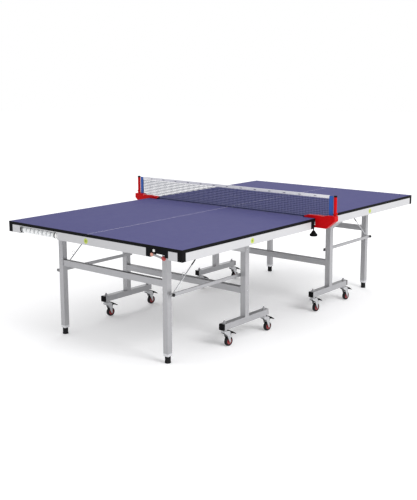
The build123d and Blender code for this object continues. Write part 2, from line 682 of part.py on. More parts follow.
with BuildPart() as clamp_jaws:
    for side in (-1, 1):
        # cover over the table's edge, with its lower outer corner cut away
        cover = [(COVER[0], COVER_BOTTOM), (845, COVER_BOTTOM), (COVER[1], 752)]
        cover += [(COVER[1], COVER_TOP), (850, COVER_TOP), (820, 778), (COVER[0], 781)]
        plate_along([(side * y, z) for y, z in cover], (-CLAMP_X[0], COVER_NET_SIDE_X))
        # arm over the board, and the lower jaw that the screw stands in
        arm = [(COVER[0], ARM_BOTTOM), (COVER[0], 781), (700, 779), (ARM_TIP, ARM_TIP_TOP)]
        arm += [(ARM_TIP, ARM_BOTTOM)]
        plate_along([(side * y, z) for y, z in arm], (-CLAMP_X[0], -CLAMP_X[1]))
        jaw_top = COVER_BOTTOM + JAW_THICKNESS
        box_between(
            (-CLAMP_X[0], side * JAW_TIP, COVER_BOTTOM), (-CLAMP_X[1], side * COVER[0], jaw_top)
        )
        post(
            -CLAMP_SCREW[0],
            side * CLAMP_SCREW[1],
            (COVER_BOTTOM - 1, jaw_top + 1),
            SCREW_R + STEM_PLAY,
            mode=Mode.SUBTRACT,
        )
export_piece("clamp_jaws", clamp_jaws.part)

with BuildPart() as clamp_screw:
    post(0, 0, (HAND_WHEEL[0], PAD_TOP - 2), SCREW_R)
    post(0, 0, (PAD_BOTTOM, PAD_TOP), PAD_R)
    post(0, 0, HAND_WHEEL, HAND_WHEEL_R)
    rim = clamp_screw.edges().filter_by(GeomType.CIRCLE).group_by(Axis.Z)[0]
    fillet(rim, HAND_WHEEL_ROUND)
    with Locations((0, 0, HAND_WHEEL[1] + HUB_CONE[2] / 2)):
        Cone(*HUB_CONE)
for place, side in (("front", -1), ("back", 1)):
    at = Pos(-CLAMP_SCREW[0], side * CLAMP_SCREW[1], 0)
    export_piece(f"clamp_screw_{place}", at * clamp_screw.part)
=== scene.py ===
"""A roll-away table tennis table in its working finish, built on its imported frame. Metres, +Z up.

X runs along the table, Y along the net. The left half lies at negative x, and the right half is
the same half turned half a turn about the middle.
"""

from math import pi, radians, sqrt

import bpy
from mathutils import Matrix, Vector


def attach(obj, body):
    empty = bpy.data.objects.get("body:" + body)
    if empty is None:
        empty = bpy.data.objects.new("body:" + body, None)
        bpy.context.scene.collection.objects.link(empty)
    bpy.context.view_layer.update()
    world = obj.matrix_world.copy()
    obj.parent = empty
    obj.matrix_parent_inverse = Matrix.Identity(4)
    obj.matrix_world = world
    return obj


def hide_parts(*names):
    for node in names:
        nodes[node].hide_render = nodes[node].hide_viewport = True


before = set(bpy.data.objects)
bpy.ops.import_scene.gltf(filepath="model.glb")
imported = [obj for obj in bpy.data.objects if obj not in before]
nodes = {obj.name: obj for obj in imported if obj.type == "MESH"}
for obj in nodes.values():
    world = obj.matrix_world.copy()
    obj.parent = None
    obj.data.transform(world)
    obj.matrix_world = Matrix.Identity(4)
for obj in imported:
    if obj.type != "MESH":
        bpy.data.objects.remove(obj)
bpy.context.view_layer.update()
bpy.ops.object.select_all(action="DESELECT")

# Playing boards. Each half is a 19 mm particle board, roller coated matt blue-violet on top with
# one thin white line along the middle of the table. The underside is stained charcoal, chips
# still showing.
HALVES = {"left": 1, "right": -1}
CENTRE_LINE_HALF = 0.0015
COATED_ABOVE = 0.7595
COAT_BLUE = (0.052, 0.052, 0.165, 1)
COAT_BLUE_WORN = (0.064, 0.062, 0.188, 1)
LINE_WHITE = (0.52, 0.51, 0.60, 1)
UNDERSIDE = (
    (0.0, (0.020, 0.019, 0.020, 1)),
    (0.5, (0.036, 0.034, 0.036, 1)),
    (1.0, (0.060, 0.056, 0.058, 1)),
)


class Shade:
    """A value in a finish. Sums written on it add the maths to the material."""

    def __init__(self, tree, socket):
        self.tree, self.socket = tree, socket

    def node(self, kind, inputs=None, out=0, stops=None, **settings):
        made = self.tree.nodes.new(kind)
        for name, setting in settings.items():
            setattr(made, name, setting)
        if stops:
            for at, _ in stops[2:]:
                made.color_ramp.elements.new(at)
            for element, (at, colour) in zip(made.color_ramp.elements, sorted(stops)):
                element.position, element.color = at, colour
        for name, value in (inputs or {}).items():
            if isinstance(value, Shade):
                self.tree.links.new(value.socket, made.inputs[name])
            else:
                made.inputs[name].default_value = value
        return Shade(self.tree, made.outputs[out])

    def math(self, operation, *values):
        inputs = dict(enumerate((self, *values)))
        return self.node("ShaderNodeMath", inputs, operation=operation)

    def axis(self, name):
        return self.node("ShaderNodeSeparateXYZ", {"Vector": self}, out=name)

    def noise(self, scale, detail=3.0, rough=0.5, out=0):
        inputs = {"Vector": self, "Scale": scale, "Detail": detail, "Roughness": rough}
        return self.node("ShaderNodeTexNoise", inputs, out=out)

    def blend(self, low, high):
        """Colour low where this is 0, colour high where it is 1."""
        inputs = {0: self, 6: low, 7: high}
        return self.node("ShaderNodeMix", inputs, out=2, data_type="RGBA")

    def bump(self, distance, strength=1.0):
        inputs = {"Height": self, "Distance": distance, "Strength": strength}
        return self.node("ShaderNodeBump", inputs)

    def __add__(self, other):
        return self.math("ADD", other)

    def __sub__(self, other):
        return self.math("SUBTRACT", other)

    def __rsub__(self, other):
        return (self * -1.0) + other

    def __mul__(self, other):
        return self.math("MULTIPLY", other)

    def __lt__(self, other):
        return self.math("LESS_THAN", other)

    def __gt__(self, other):
        return self.math("GREATER_THAN", other)

    def __mod__(self, other):
        return self.math("FLOORED_MODULO", other)

    def __abs__(self):
        return self.math("ABSOLUTE")

    __radd__ = __add__
    __rmul__ = __mul__


def finish(name, **fixed):
    """A new surface finish: its material, its shader and the place of each point on the piece."""
    material = bpy.data.materials.new(name)
    material.use_nodes = True
    shader = material.node_tree.nodes["Principled BSDF"]
    for socket, value in fixed.items():
        shader.inputs[socket.replace("_", " ")].default_value = value
    start = Shade(material.node_tree, None)
    return material, shader, start.node("ShaderNodeTexCoord", out="Object")


def drive(shader, **values):
    """Links what changes over the surface to the shader's sockets."""
    for name, value in values.items():
        value.tree.links.new(value.socket, shader.inputs[name.replace("_", " ")])


def dress(piece, *materials):
    """Gives a piece its finishes in place of any it has."""
    piece.data.materials.clear()
    for material in materials:
        piece.data.materials.append(material)


coated_board, shader, place = finish("coated_board", Specular_IOR_Level=0.12)
grain = place.noise(1400, 2.0)
drift = place.noise(2.2, 4.0, 0.6)
scuffs = place.noise(18, 6.0, 0.7)
coat = (drift * 0.7 + scuffs * 0.3).blend(COAT_BLUE, COAT_BLUE_WORN)
painted = abs(place.axis("Y")) < CENTRE_LINE_HALF
coat = painted.blend(coat, LINE_WHITE)
chips = place.node("ShaderNodeTexVoronoi", {"Vector": place, "Scale": 420}, out="Color").axis("X")
bare = chips.node("ShaderNodeValToRGB", {"Fac": chips}, stops=UNDERSIDE)
on_top = place.axis("Z") > COATED_ABOVE
drive(
    shader,
    Base_Color=on_top.blend(bare, coat),
    Roughness=0.6 + scuffs * 0.14 + (1 - on_top) * 0.2,
    Normal=(grain + painted * 1.5).bump(0.00008, 0.6),
)
for half in HALVES:
    dress(nodes[f"{half}_board"], coated_board)

# Edge band and corner guards. Black satin plastic: a 2 mm band pressed on round each board, and
# moulded guards over the apron's corners, with their edges softened by the mould.
BLACK = (0.003, 0.003, 0.0035, 1)
BLACK_DULL = (0.008, 0.008, 0.009, 1)


def round_edges(piece, width, segments=2):
    """Softens a carried-over piece's sharp edges."""
    weld = piece.modifiers.new("weld", "WELD")
    weld.merge_threshold = 0.00001
    bevel = piece.modifiers.new("bevel", "BEVEL")
    bevel.width, bevel.segments, bevel.limit_method = width, segments, "ANGLE"
    bevel.angle_limit = radians(40)
    bevel.harden_normals = True


black_plastic, shader, place = finish("black_plastic", Specular_IOR_Level=0.04)
spark = place.noise(2600, 2.0)
haze = place.noise(14, 5.0, 0.65)
drive(
    shader,
    Base_Color=haze.blend(BLACK, BLACK_DULL),
    Roughness=0.40 + haze * 0.22,
    Normal=spark.bump(0.00006, 0.7),
)
for half in HALVES:
    dress(nodes[f"{half}_edge_trim"], black_plastic)
    round_edges(nodes[f"{half}_edge_trim"], 0.0007)

# Apron frame. Folded 2 mm sheet steel under the board with welded cross members, powder coated
# silver white. Bolts and ears of the pivots are part of the same weldment.
APRON_WHITE = (0.51, 0.51, 0.52, 1)
APRON_SHADE = (0.44, 0.44, 0.455, 1)


def powder_coat(name, light, shade, peel=0.00005, flake=0.1):
    """A powder coat with its fine orange peel, faint cloudiness and share of metal flake."""
    material, shader, place = finish(name, Specular_IOR_Level=0.5, Metallic=flake)
    peel_height = place.noise(900, 2.0)
    cloud = place.noise(5.5, 4.0, 0.6)
    rub = place.noise(60, 5.0, 0.7)
    drive(
        shader,
        Base_Color=(cloud * 0.65 + rub * 0.35).blend(light, shade),
        Roughness=0.36 + rub * 0.16,
        Normal=peel_height.bump(peel, 0.8),
    )
    return material


apron_coat = powder_coat("apron_coat", APRON_WHITE, APRON_SHADE)
for half in HALVES:
    dress(nodes[f"{half}_apron_frame"], apron_coat)

# Carriage, legs and links. Square steel tube and flat bar, cut, welded and powder coated in a
# metallic silver grey.
FRAME_LIGHT = (0.42, 0.42, 0.43, 1)
FRAME_SHADE = (0.34, 0.34, 0.355, 1)
frame_coat = powder_coat("frame_coat", FRAME_LIGHT, FRAME_SHADE, 0.00007, 0.6)
for half in HALVES:
    for name in ("carriage_frame", "leg_frame", "link_bars"):
        dress(nodes[f"{half}_{name}"], frame_coat)
        round_edges(nodes[f"{half}_{name}"], 0.0022, 3)
    dress(nodes[f"{half}_carriage_caps"], black_plastic)
    round_edges(nodes[f"{half}_carriage_caps"], 0.0022, 3)

# Leg frames have a pale plastic collar pressed on each leg's lower end and black caps on the pivot
# studs, and the link bars have a black plug in their inner end.
COLLAR_GREY = (0.62, 0.62, 0.64, 1)
COLLAR_TOP = 0.060
PLUG_WITHIN = 0.4915
STUD_CAP_Y = 0.5131


def part_colour(source, name, test, colour, rough):
    """A copy of a finish in which the points that pass a test are another moulded material."""
    material = source.copy()
    material.name = name
    tree = material.node_tree
    shader = tree.nodes["Principled BSDF"]
    place = Shade(tree, None).node("ShaderNodeTexCoord", out="Object")
    inside = test(place)
    for socket, value in (("Base Color", colour), ("Roughness", rough)):
        before = Shade(tree, shader.inputs[socket].links[0].from_socket)
        if socket == "Roughness":
            after = before * (1 - inside) + inside * value
        else:
            after = inside.blend(before, value)
        tree.links.new(after.socket, shader.inputs[socket])
    return material


leg_coat = part_colour(
    frame_coat, "leg_coat", lambda p: p.axis("Z") < COLLAR_TOP, COLLAR_GREY, 0.4
)
leg_coat = part_colour(
    leg_coat, "capped_leg_coat", lambda p: abs(p.axis("Y")) > STUD_CAP_Y, BLACK, 0.45
)
link_coat = part_colour(
    frame_coat, "link_coat", lambda p: abs(p.axis("X")) < PLUG_WITHIN, BLACK, 0.45
)
for half in HALVES:
    dress(nodes[f"{half}_leg_frame"], leg_coat)
    dress(nodes[f"{half}_link_bars"], link_coat)

# Weld beads. Each bar and post is welded all round where it meets the next tube, and the bead is
# coated with the frame.
BEAD = 0.0022
UPRIGHT_X, UPRIGHT_Y, UPRIGHT_SIZE = 0.513, 0.540, 0.040
LEG_X, LEG_Y, LEG_SIZE = 1.172, 0.464, 0.038
CARRIAGE_BAR_Z, LEG_BAR_Z, BAR_HEIGHT = 0.330, 0.489, 0.040
LEG_BAR_DEPTH = 0.030
RAIL_TOP = 0.156


def settle(piece, body, matrix=None):
    """Puts the place into the mesh, leaves the object at the origin, and lets it ride."""
    bpy.context.view_layer.update()
    piece.data.transform((matrix or Matrix.Identity(4)) @ piece.matrix_world)
    piece.matrix_world = Matrix.Identity(4)
    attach(piece, body)


def copy_of(piece, name):
    """Another of the same piece, with a mesh of its own."""
    other = piece.copy()
    other.data = piece.data.copy()
    other.name = name
    bpy.context.scene.collection.objects.link(other)
    return other


def joined(name, pieces):
    """Several loose pieces made one."""
    bpy.ops.object.select_all(action="DESELECT")
    for piece in pieces:
        piece.select_set(True)
    bpy.context.view_layer.objects.active = pieces[0]
    bpy.ops.object.join()
    pieces[0].name = name
    bpy.ops.object.select_all(action="DESELECT")
    return pieces[0]


def apply_all(piece):
    """Applies the piece's modifiers in order."""
    bpy.context.view_layer.objects.active = piece
    for modifier in list(piece.modifiers):
        bpy.ops.object.modifier_apply(modifier=modifier.name)


def smooth(piece, angle=35):
    """Smooth shading across all but the sharp edges."""
    bpy.ops.object.select_all(action="DESELECT")
    piece.select_set(True)
    bpy.context.view_layer.objects.active = piece
    bpy.ops.object.shade_smooth_by_angle(angle=radians(angle))
    bpy.ops.object.select_all(action="DESELECT")


def bead_round(centre, size, along):
    """A rounded square of weld metal round a tube's end; along is the tube's own axis."""
    bpy.ops.mesh.primitive_cube_add(size=1, location=centre)
    bead = bpy.context.object
    bead.scale = [BEAD if i == along else s + 2 * BEAD * 0.8 for i, s in enumerate(size)]
    bpy.ops.object.mode_set(mode="EDIT")
    bpy.ops.mesh.select_all(action="SELECT")
    bpy.ops.mesh.subdivide(number_cuts=5)
    bpy.ops.object.mode_set(mode="OBJECT")
    bpy.ops.object.transform_apply(location=False, rotation=False, scale=True)
    bevel = bead.modifiers.new("round", "BEVEL")
    bevel.width, bevel.segments = BEAD * 0.45, 2
    apply_all(bead)
    bpy.ops.object.mode_set(mode="EDIT")
    bpy.ops.mesh.select_all(action="SELECT")
    bpy.ops.transform.vertex_random(offset=BEAD * 0.12, seed=3)
    bpy.ops.object.mode_set(mode="OBJECT")
    smooth(bead, 50)
    dress(bead, frame_coat)
    return bead


for half, sign in HALVES.items():
    beads = []
    for side in (-1, 1):
        inner = side * (UPRIGHT_Y - UPRIGHT_SIZE / 2 - BEAD / 2)
        size = (UPRIGHT_SIZE, 0, BAR_HEIGHT)
        beads.append(bead_round((-sign * UPRIGHT_X, inner, CARRIAGE_BAR_Z), size, 1))
        foot = (-sign * UPRIGHT_X, side * UPRIGHT_Y, RAIL_TOP + BEAD / 2)
        beads.append(bead_round(foot, (UPRIGHT_SIZE, UPRIGHT_SIZE - BEAD * 2, 0), 2))
    settle(joined(f"{half}_carriage_welds", beads), f"{half}_carriage")
    beads = []
    for side in (-1, 1):
        inner = side * (LEG_Y - LEG_SIZE / 2 - BEAD / 2)
        size = (LEG_BAR_DEPTH, 0, BAR_HEIGHT)
        beads.append(bead_round((-sign * LEG_X, inner, LEG_BAR_Z), size, 1))
    settle(joined(f"{half}_leg_welds", beads), f"{half}_legs")

# Bolts. Round headed zinc bolts with a hexagon socket hold the support brackets and the plates
# to the uprights, the legs and the aprons.
BOLT_HEAD = ((0.0, 0.0068), (0.0014, 0.0068), (0.0026, 0.0058), (0.0033, 0.0040))
BOLT_SOCKET = 0.0022
UPRIGHT_BOLT_Z = (0.602, 0.655, 0.330)
LEG_BOLT_Z = (0.489, 0.640)
ZINC = (0.62, 0.62, 0.63, 1)
ZINC_DULL = (0.42, 0.43, 0.45, 1)
zinc, shader, place = finish("zinc", Metallic=0.85)
spangle = place.node("ShaderNodeTexVoronoi", {"Vector": place, "Scale": 240}, out="Color").axis("X")
stain = place.noise(40, 5.0, 0.65)
drive(
    shader,
    Base_Color=(spangle * 0.4 + stain * 0.6).blend(ZINC, ZINC_DULL),
    Roughness=0.28 + stain * 0.25,
    Normal=stain.bump(0.00005, 0.5),
)


def turned(name, steps, sides=32, angle=35):
    """A piece turned about Z: a disc drawn out step by step to each height and radius."""
    bpy.ops.mesh.primitive_circle_add(
        vertices=sides, radius=steps[0][1], fill_type="NGON", location=(0, 0, steps[0][0])
    )
    piece = bpy.context.object
    piece.name = name
    bpy.ops.object.transform_apply()
    bpy.ops.object.mode_set(mode="EDIT")
    bpy.ops.mesh.select_all(action="SELECT")
    for (z0, r0), (z1, r1) in zip(steps, steps[1:]):
        bpy.ops.mesh.extrude_region_move(TRANSFORM_OT_translate={"value": (0, 0, z1 - z0)})
        scale = r1 / r0
        bpy.ops.transform.resize(value=(scale, scale, 1), center_override=(0, 0, z1))
    bpy.ops.mesh.select_all(action="SELECT")
    bpy.ops.mesh.normals_make_consistent(inside=False)
    bpy.ops.object.mode_set(mode="OBJECT")
    smooth(piece, angle)
    return piece


def pressed_socket(piece, top, radius, depth):
    """Sinks a flat socket into the middle of the topmost face."""
    for polygon in piece.data.polygons:
        polygon.select = polygon.center.z > top - 0.00005 and polygon.normal.z > 0.9
    bpy.context.view_layer.objects.active = piece
    bpy.ops.object.mode_set(mode="EDIT")
    bpy.ops.mesh.select_mode(type="FACE")
    bpy.ops.mesh.inset(thickness=radius * 0.5, depth=0)
    bpy.ops.mesh.inset(thickness=radius * 0.1, depth=-depth)
    bpy.ops.object.mode_set(mode="OBJECT")


def facing(normal):
    """The turn that points a piece's +Z along normal."""
    return Vector(normal).to_track_quat("Z", "Y").to_matrix().to_4x4()


bolt = turned("bolt", BOLT_HEAD, 20)
pressed_socket(bolt, BOLT_HEAD[-1][0], 0.004, BOLT_SOCKET)
dress(bolt, zinc)


def set_of(piece, name, body, places):
    """Copies of a piece at each (point, outward direction), joined and riding on one body."""
    copies = []
    for i, (point, normal) in enumerate(places):
        other = copy_of(piece, f"{name}_{i}")
        other.data.transform(Matrix.Translation(point) @ facing(normal))
        copies.append(other)
    settle(joined(name, copies), body)


for half, sign in HALVES.items():
    outer = [
        ((-sign * UPRIGHT_X, side * (UPRIGHT_Y + UPRIGHT_SIZE / 2), z), (0, side, 0))
        for side in (-1, 1)
        for z in UPRIGHT_BOLT_Z
    ]
    set_of(bolt, f"{half}_upright_bolts", f"{half}_carriage", outer)
    ends = [
        ((-sign * (LEG_X + LEG_SIZE / 2), side * LEG_Y, z), (-sign, 0, 0))
        for side in (-1, 1)
        for z in LEG_BOLT_Z[1:]
    ]
    set_of(bolt, f"{half}_leg_bolts", f"{half}_legs", ends)

# Locking stickers. Round lime foil discs with a small green disc printed in the middle. They mark
# where the top is held, on the side and end aprons.
STICKER_R = 0.017
STICKER_Z = 0.716
STICKER_AT = ((-0.730, -0.762), (-0.705, 0.762))
STICKER_END = (-1.3695, 0.016)
STICKER_MARK_R = 0.0075
LIME = (0.36, 0.44, 0.03, 1)
LIME_PALE = (0.48, 0.55, 0.10, 1)
MARK_GREEN = (0.07, 0.14, 0.02, 1)
lime_foil, shader, place = finish("lime_foil", Roughness=0.4)
fade = place.noise(160, 3.0)
drive(shader, Base_Color=fade.blend(LIME, LIME_PALE), Normal=fade.bump(0.00004, 0.5))
mark_ink, shader, place = finish("mark_ink", Roughness=0.5)
fade = place.noise(300, 3.0)
drive(shader, Base_Color=fade.blend(MARK_GREEN, LIME))
sticker_steps = (
    (0.0, STICKER_R),
    (0.00015, STICKER_R),
    (0.0003, STICKER_R - 0.0004),
    (0.0003, STICKER_MARK_R),
)
sticker = turned("sticker", sticker_steps, 40)
dress(sticker, lime_foil, mark_ink)
for polygon in sticker.data.polygons:
    polygon.material_index = int(len(polygon.vertices) > 4 and polygon.normal.z > 0)
for half, sign in HALVES.items():
    spots = [((x * sign, y * sign, STICKER_Z), (0, y * sign, 0)) for x, y in STICKER_AT]
    spots.append(((STICKER_END[0] * sign, STICKER_END[1] * sign, STICKER_Z), (-sign, 0, 0)))
    set_of(sticker, f"{half}_stickers", f"{half}_top", spots)

# Ball store. A clear tube in the end apron, with black rings and a white cap pushed on its ends
# and eight celluloid balls inside, each moulded in two halves whose seam just shows. Each ball
# turns dark grey towards where it touches the next: painted shade between the balls.
BALL_WHITE = (0.88, 0.88, 0.87, 1)
BALL_SEAM = (0.62, 0.62, 0.60, 1)
# Dark grey of the painted shade between touching balls.
BALL_PAINTED_SHADE = (0.10, 0.10, 0.11, 1)
LAST_BALL_Y, BALL_PITCH = 0.618, 0.0401
CLEAR = (0.86, 0.89, 0.92, 1)
CAP_TO_Y, RING_TO_Y, END_RING_FROM_Y = 0.3045, 0.3160, 0.6385
clear_tube, shader, place = finish("clear_tube", Specular_IOR_Level=0.5, Coat_Weight=0.2)
smear = place.noise(70, 4.0, 0.6)
from_middle = abs(place.axis("Y"))
ringed = (from_middle < RING_TO_Y) + (from_middle > END_RING_FROM_Y)
colour = ringed.blend(CLEAR, BLACK)
drive(
    shader,
    Base_Color=(from_middle < CAP_TO_Y).blend(colour, BALL_WHITE),
    Alpha=(0.10 + smear * 0.12) * (1 - ringed) + ringed,
    Roughness=0.1 + smear * 0.14 + ringed * 0.2,
)
celluloid, shader, place = finish("celluloid", Specular_IOR_Level=0.5)
offset = (abs(place.axis("Y")) + (BALL_PITCH * 20.5 - LAST_BALL_Y)) % BALL_PITCH
from_centre = abs(offset - BALL_PITCH / 2)
seam = from_centre < 0.0005
# Painted shade: each ball darkens towards the points where it touches its neighbours.
painted_contact_shade = from_centre.node(
    "ShaderNodeMapRange", {"Value": from_centre, "From Min": 0.0125, "From Max": 0.0185}
)
pores = place.noise(1200, 2.0)
drive(
    shader,
    Base_Color=painted_contact_shade.blend(seam.blend(BALL_WHITE, BALL_SEAM), BALL_PAINTED_SHADE),
    Roughness=0.4 + pores * 0.15,
    Normal=(pores * 0.3 - seam).bump(0.0001, 0.5),
)
for half in HALVES:
    dress(nodes[f"{half}_ball_tube"], clear_tube)
    dress(nodes[f"{half}_balls"], celluloid)

# Tube ends and latch housing: black moulded plastic with a white cap at the filling end. The
# lever is a grey bar with a red ball and a faded red pivot cap, and the lock button is glossy
# white.
CAP_SPAN = (0.2795, 0.2885)
PIVOT_CAP_X, PIVOT_CAP_Y, PIVOT_CAP_R, PIVOT_CAP_TOP = 1.3625, 0.530, 0.0102, 0.7165
PIVOT_RED = (0.60, 0.30, 0.24, 1)
LEVER_GREY = (0.30, 0.30, 0.31, 1)
KNOB_RED = (0.34, 0.035, 0.03, 1)
KNOB_FROM_Y = 0.5995
fittings_plastic = part_colour(
    black_plastic,
    "fittings_plastic",
    lambda p: (abs(p.axis("Y")) > CAP_SPAN[0]) * (abs(p.axis("Y")) < CAP_SPAN[1]),
    BALL_WHITE,
    0.35,
)
fittings_plastic = part_colour(
    fittings_plastic,
    "capped_fittings_plastic",
    lambda p: (abs(p.axis("X")) > PIVOT_CAP_X)
    * (abs(abs(p.axis("Y")) - PIVOT_CAP_Y) < PIVOT_CAP_R)
    * (p.axis("Z") < PIVOT_CAP_TOP),
    PIVOT_RED,
    0.35,
)
lever_steel = powder_coat("lever_steel", LEVER_GREY, LEVER_GREY)
lever_finish = part_colour(
    lever_steel, "lever_finish", lambda p: abs(p.axis("Y")) > KNOB_FROM_Y, KNOB_RED, 0.25
)
button_white, shader, place = finish("button_white", Coat_Weight=0.3)
touch = place.noise(300, 3.0)
drive(shader, Base_Color=touch.blend(BALL_WHITE, BALL_SEAM), Roughness=0.22 + touch * 0.12)
for half in HALVES:
    dress(nodes[f"{half}_end_fittings"], fittings_plastic)
    dress(nodes[f"{half}_release_lever"], lever_finish)
    dress(nodes[f"{half}_lock_button"], button_white)

# Casters. Zinc plated forks, a black rubber tyre on a red hub, and a black brake pedal with a
# ribbed tread. The wheel is moulded in one piece and runs on a plain axle.
WHEEL_R = 0.031
HUB_EDGE_R = 0.0205
TRAIL, TURN = 0.037, -5
STEM_REACH = (("outer", 0.211), ("inner", -0.211))
TYRE = (0.007, 0.007, 0.008, 1)
TYRE_DUSTY = (0.028, 0.028, 0.030, 1)
HUB_RED = (0.26, 0.008, 0.012, 1)
HUB_DEEP = (0.15, 0.004, 0.007, 1)
tyre_rubber, shader, place = finish("tyre_rubber", Specular_IOR_Level=0.12)
dust = place.noise(55, 5.0, 0.7)
drive(
    shader,
    Base_Color=(dust * dust).blend(TYRE, TYRE_DUSTY),
    Roughness=0.55 + dust * 0.3,
    Normal=dust.bump(0.0002, 0.6),
)
hub_plastic, shader, place = finish("hub_plastic", Coat_Weight=0.2)
tint = place.noise(120, 3.0)
drive(shader, Base_Color=tint.blend(HUB_RED, HUB_DEEP), Roughness=0.3 + tint * 0.2)
half_wheel = (
    (-0.0130, 0.0050),
    (-0.0130, 0.0085),
    (-0.0092, 0.0095),
    (-0.0085, 0.0190),
    (-0.0100, 0.0205),
    (-0.0108, 0.0225),
    (-0.0110, 0.0265),
    (-0.0096, 0.0296),
    (-0.0068, 0.0309),
    (-0.0025, 0.0310),
)
wheel = turned("wheel", half_wheel + tuple((-z, r) for z, r in reversed(half_wheel)), 48)
dress(wheel, tyre_rubber, hub_plastic)
for polygon in wheel.data.polygons:
    middle = polygon.center
    if sqrt(middle.x**2 + middle.y**2) < HUB_EDGE_R or len(polygon.vertices) > 4:
        polygon.material_index = 1
for half, sign in HALVES.items():
    for reach, offset in STEM_REACH:
        for end, side in (("front", -1), ("back", 1)):
            name = f"{half}_{reach}_{end}"
            stem = Matrix.Translation((sign * -UPRIGHT_X - sign * offset, side * UPRIGHT_Y, 0))
            axle = Matrix.Translation((TRAIL, 0, WHEEL_R)) @ Matrix.Rotation(pi / 2, 4, "X")
            other = copy_of(wheel, f"{name}_tyre_and_hub")
            at = stem @ Matrix.Rotation(radians(TURN), 4, "Z") @ axle
            settle(other, f"{name}_wheel", at)
            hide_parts(f"{name}_wheel")
            dress(nodes[f"{name}_fork"], zinc)
            dress(nodes[f"{name}_pedal"], black_plastic)
            round_edges(nodes[f"{name}_pedal"], 0.0008)

# Stays. Zinc plated wire with an eye at the top, a finger loop and a black plastic sleeve drawn
# over the upper part of the wire.
SLEEVE_OVER_Z = 0.573
stay_finish = part_colour(zinc, "stay_finish", lambda p: p.axis("Z") > SLEEVE_OVER_Z, BLACK, 0.45)
for half in HALVES:
    dress(nodes[f"{half}_leg_struts"], stay_finish)

# Feet. Black moulded rubber with a flared base and three grip rings, on a levelling stem.
FOOT_STEPS = (
    (0.0000, 0.0170),
    (0.0015, 0.0188),
    (0.0070, 0.0190),
    (0.0085, 0.0180),
    (0.0120, 0.0174),
    (0.0135, 0.0182),
    (0.0180, 0.0182),
    (0.0195, 0.0172),
    (0.0225, 0.0172),
    (0.0240, 0.0182),
    (0.0285, 0.0182),
    (0.0300, 0.0172),
    (0.0330, 0.0172),
    (0.0345, 0.0184),
    (0.0420, 0.0184),
    (0.0430, 0.0174),
    (0.0430, 0.0060),
    (0.0850, 0.0060),
)
foot = turned("foot", FOOT_STEPS, 40, 30)
dress(foot, tyre_rubber)
for half, sign in HALVES.items():
    for end, side in (("front", -1), ("back", 1)):
        other = copy_of(foot, f"{half}_{end}_rubber_foot")
        at = Matrix.Translation((-sign * LEG_X, side * LEG_Y, 0))
        settle(other, f"{half}_foot_{end}", at)
        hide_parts(f"{half}_foot_{end}")

# Net posts. Red enamelled steel tube with a black cap pressed in the top, a collar at the foot
# and a small red knob that ties off the net cord.
ENAMEL = (0.50, 0.003, 0.005, 1)
ENAMEL_DEEP = (0.40, 0.002, 0.004, 1)
NET_X, POST_Y, POST_FOOT, POST_TOP = -0.004, 0.8965, 0.7861, 0.921
KNOB_Y, KNOB_Z = 0.9066, 0.802
red_enamel, shader, place = finish("red_enamel", Specular_IOR_Level=0.06)
flow = place.noise(45, 3.0)
drive(
    shader,
    Base_Color=flow.blend(ENAMEL, ENAMEL_DEEP),
    Roughness=0.3 + flow * 0.12,
    Normal=flow.bump(0.0001, 0.5),
)
post_steps = (
    (POST_FOOT, 0.0118),
    (POST_FOOT + 0.0050, 0.0118),
    (POST_FOOT + 0.0062, 0.0105),
    (POST_TOP - 0.0120, 0.0105),
    (POST_TOP - 0.0110, 0.0100),
)
cap_steps = (
    (POST_TOP - 0.0112, 0.0104),
    (POST_TOP - 0.0104, 0.0112),
    (POST_TOP - 0.0030, 0.0112),
    (POST_TOP - 0.0008, 0.0094),
    (POST_TOP, 0.0060),
)
knob_steps = ((0.0, 0.0035), (0.0022, 0.0035), (0.0026, 0.0070), (0.0044, 0.0070), (0.0052, 0.0056))
post = turned("post", post_steps)
dress(post, red_enamel)
cap = turned("cap", cap_steps)
dress(cap, black_plastic)
knob = turned("knob", knob_steps, 24)
dress(knob, red_enamel)
posts = []
for side in (-1, 1):
    for piece in (post, cap):
        other = copy_of(piece, f"{piece.name}_{side}")
        other.data.transform(Matrix.Translation((NET_X, side * POST_Y, 0)))
        posts.append(other)
    other = copy_of(knob, f"knob_{side}")
    other.data.transform(Matrix.Translation((NET_X, side * KNOB_Y, KNOB_Z)) @ facing((0, side, 0)))
    posts.append(other)
posts = joined("red_net_posts", posts)
settle(posts, "left_top")
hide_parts("net_posts")

# Clamps. Folded steel covers and arms in the same red enamel, with black rubber on the tips of
# the arms, and a black hand screw under each.
ARM_TIP_Y = 0.6765
clamp_enamel = part_colour(
    red_enamel, "clamp_enamel", lambda p: abs(p.axis("Y")) < ARM_TIP_Y, BLACK, 0.6
)
dress(nodes["clamp_jaws"], clamp_enamel)
round_edges(nodes["clamp_jaws"], 0.0018, 3)
for end in ("front", "back"):
    dress(nodes[f"clamp_screw_{end}"], black_plastic)

# Net. Knotted twisted cord in a square mesh, dyed dark blue with paler knots, stretched between
# the two end sleeves and hung from the tape. A thicker cord runs along the bottom.
MESH_PITCH = 0.0123
CORD_R = 0.0017
BOTTOM_CORD_R = 0.0026
NET_HALF = 0.853
NET_SPAN_Z = (0.7645, 0.9)
CORD_BLUE = (0.012, 0.017, 0.050, 1)
CORD_LIGHT = (0.05, 0.065, 0.15, 1)
KNOT_PALE = (0.20, 0.22, 0.36, 1)
cord_dye, shader, place = finish("cord_dye", Specular_IOR_Level=0.1)
twist = place.noise(700, 3.0, 0.6)
drive(
    shader,
    Base_Color=twist.blend(CORD_BLUE, CORD_LIGHT),
    Roughness=0.75 + twist * 0.2,
    Normal=twist.bump(0.0003, 0.8),
)
knot_dye, shader, place = finish("knot_dye", Specular_IOR_Level=0.1)
fray = place.noise(900, 3.0)
drive(shader, Base_Color=fray.blend(CORD_BLUE, KNOT_PALE), Roughness=0.8 + fray * 0.15)


def row_of(piece, count, step):
    """Repeats a piece along a step and makes the row real."""
    array = piece.modifiers.new("row", "ARRAY")
    array.use_relative_offset, array.use_constant_offset = False, True
    array.constant_offset_displace, array.count = step, count
    apply_all(piece)


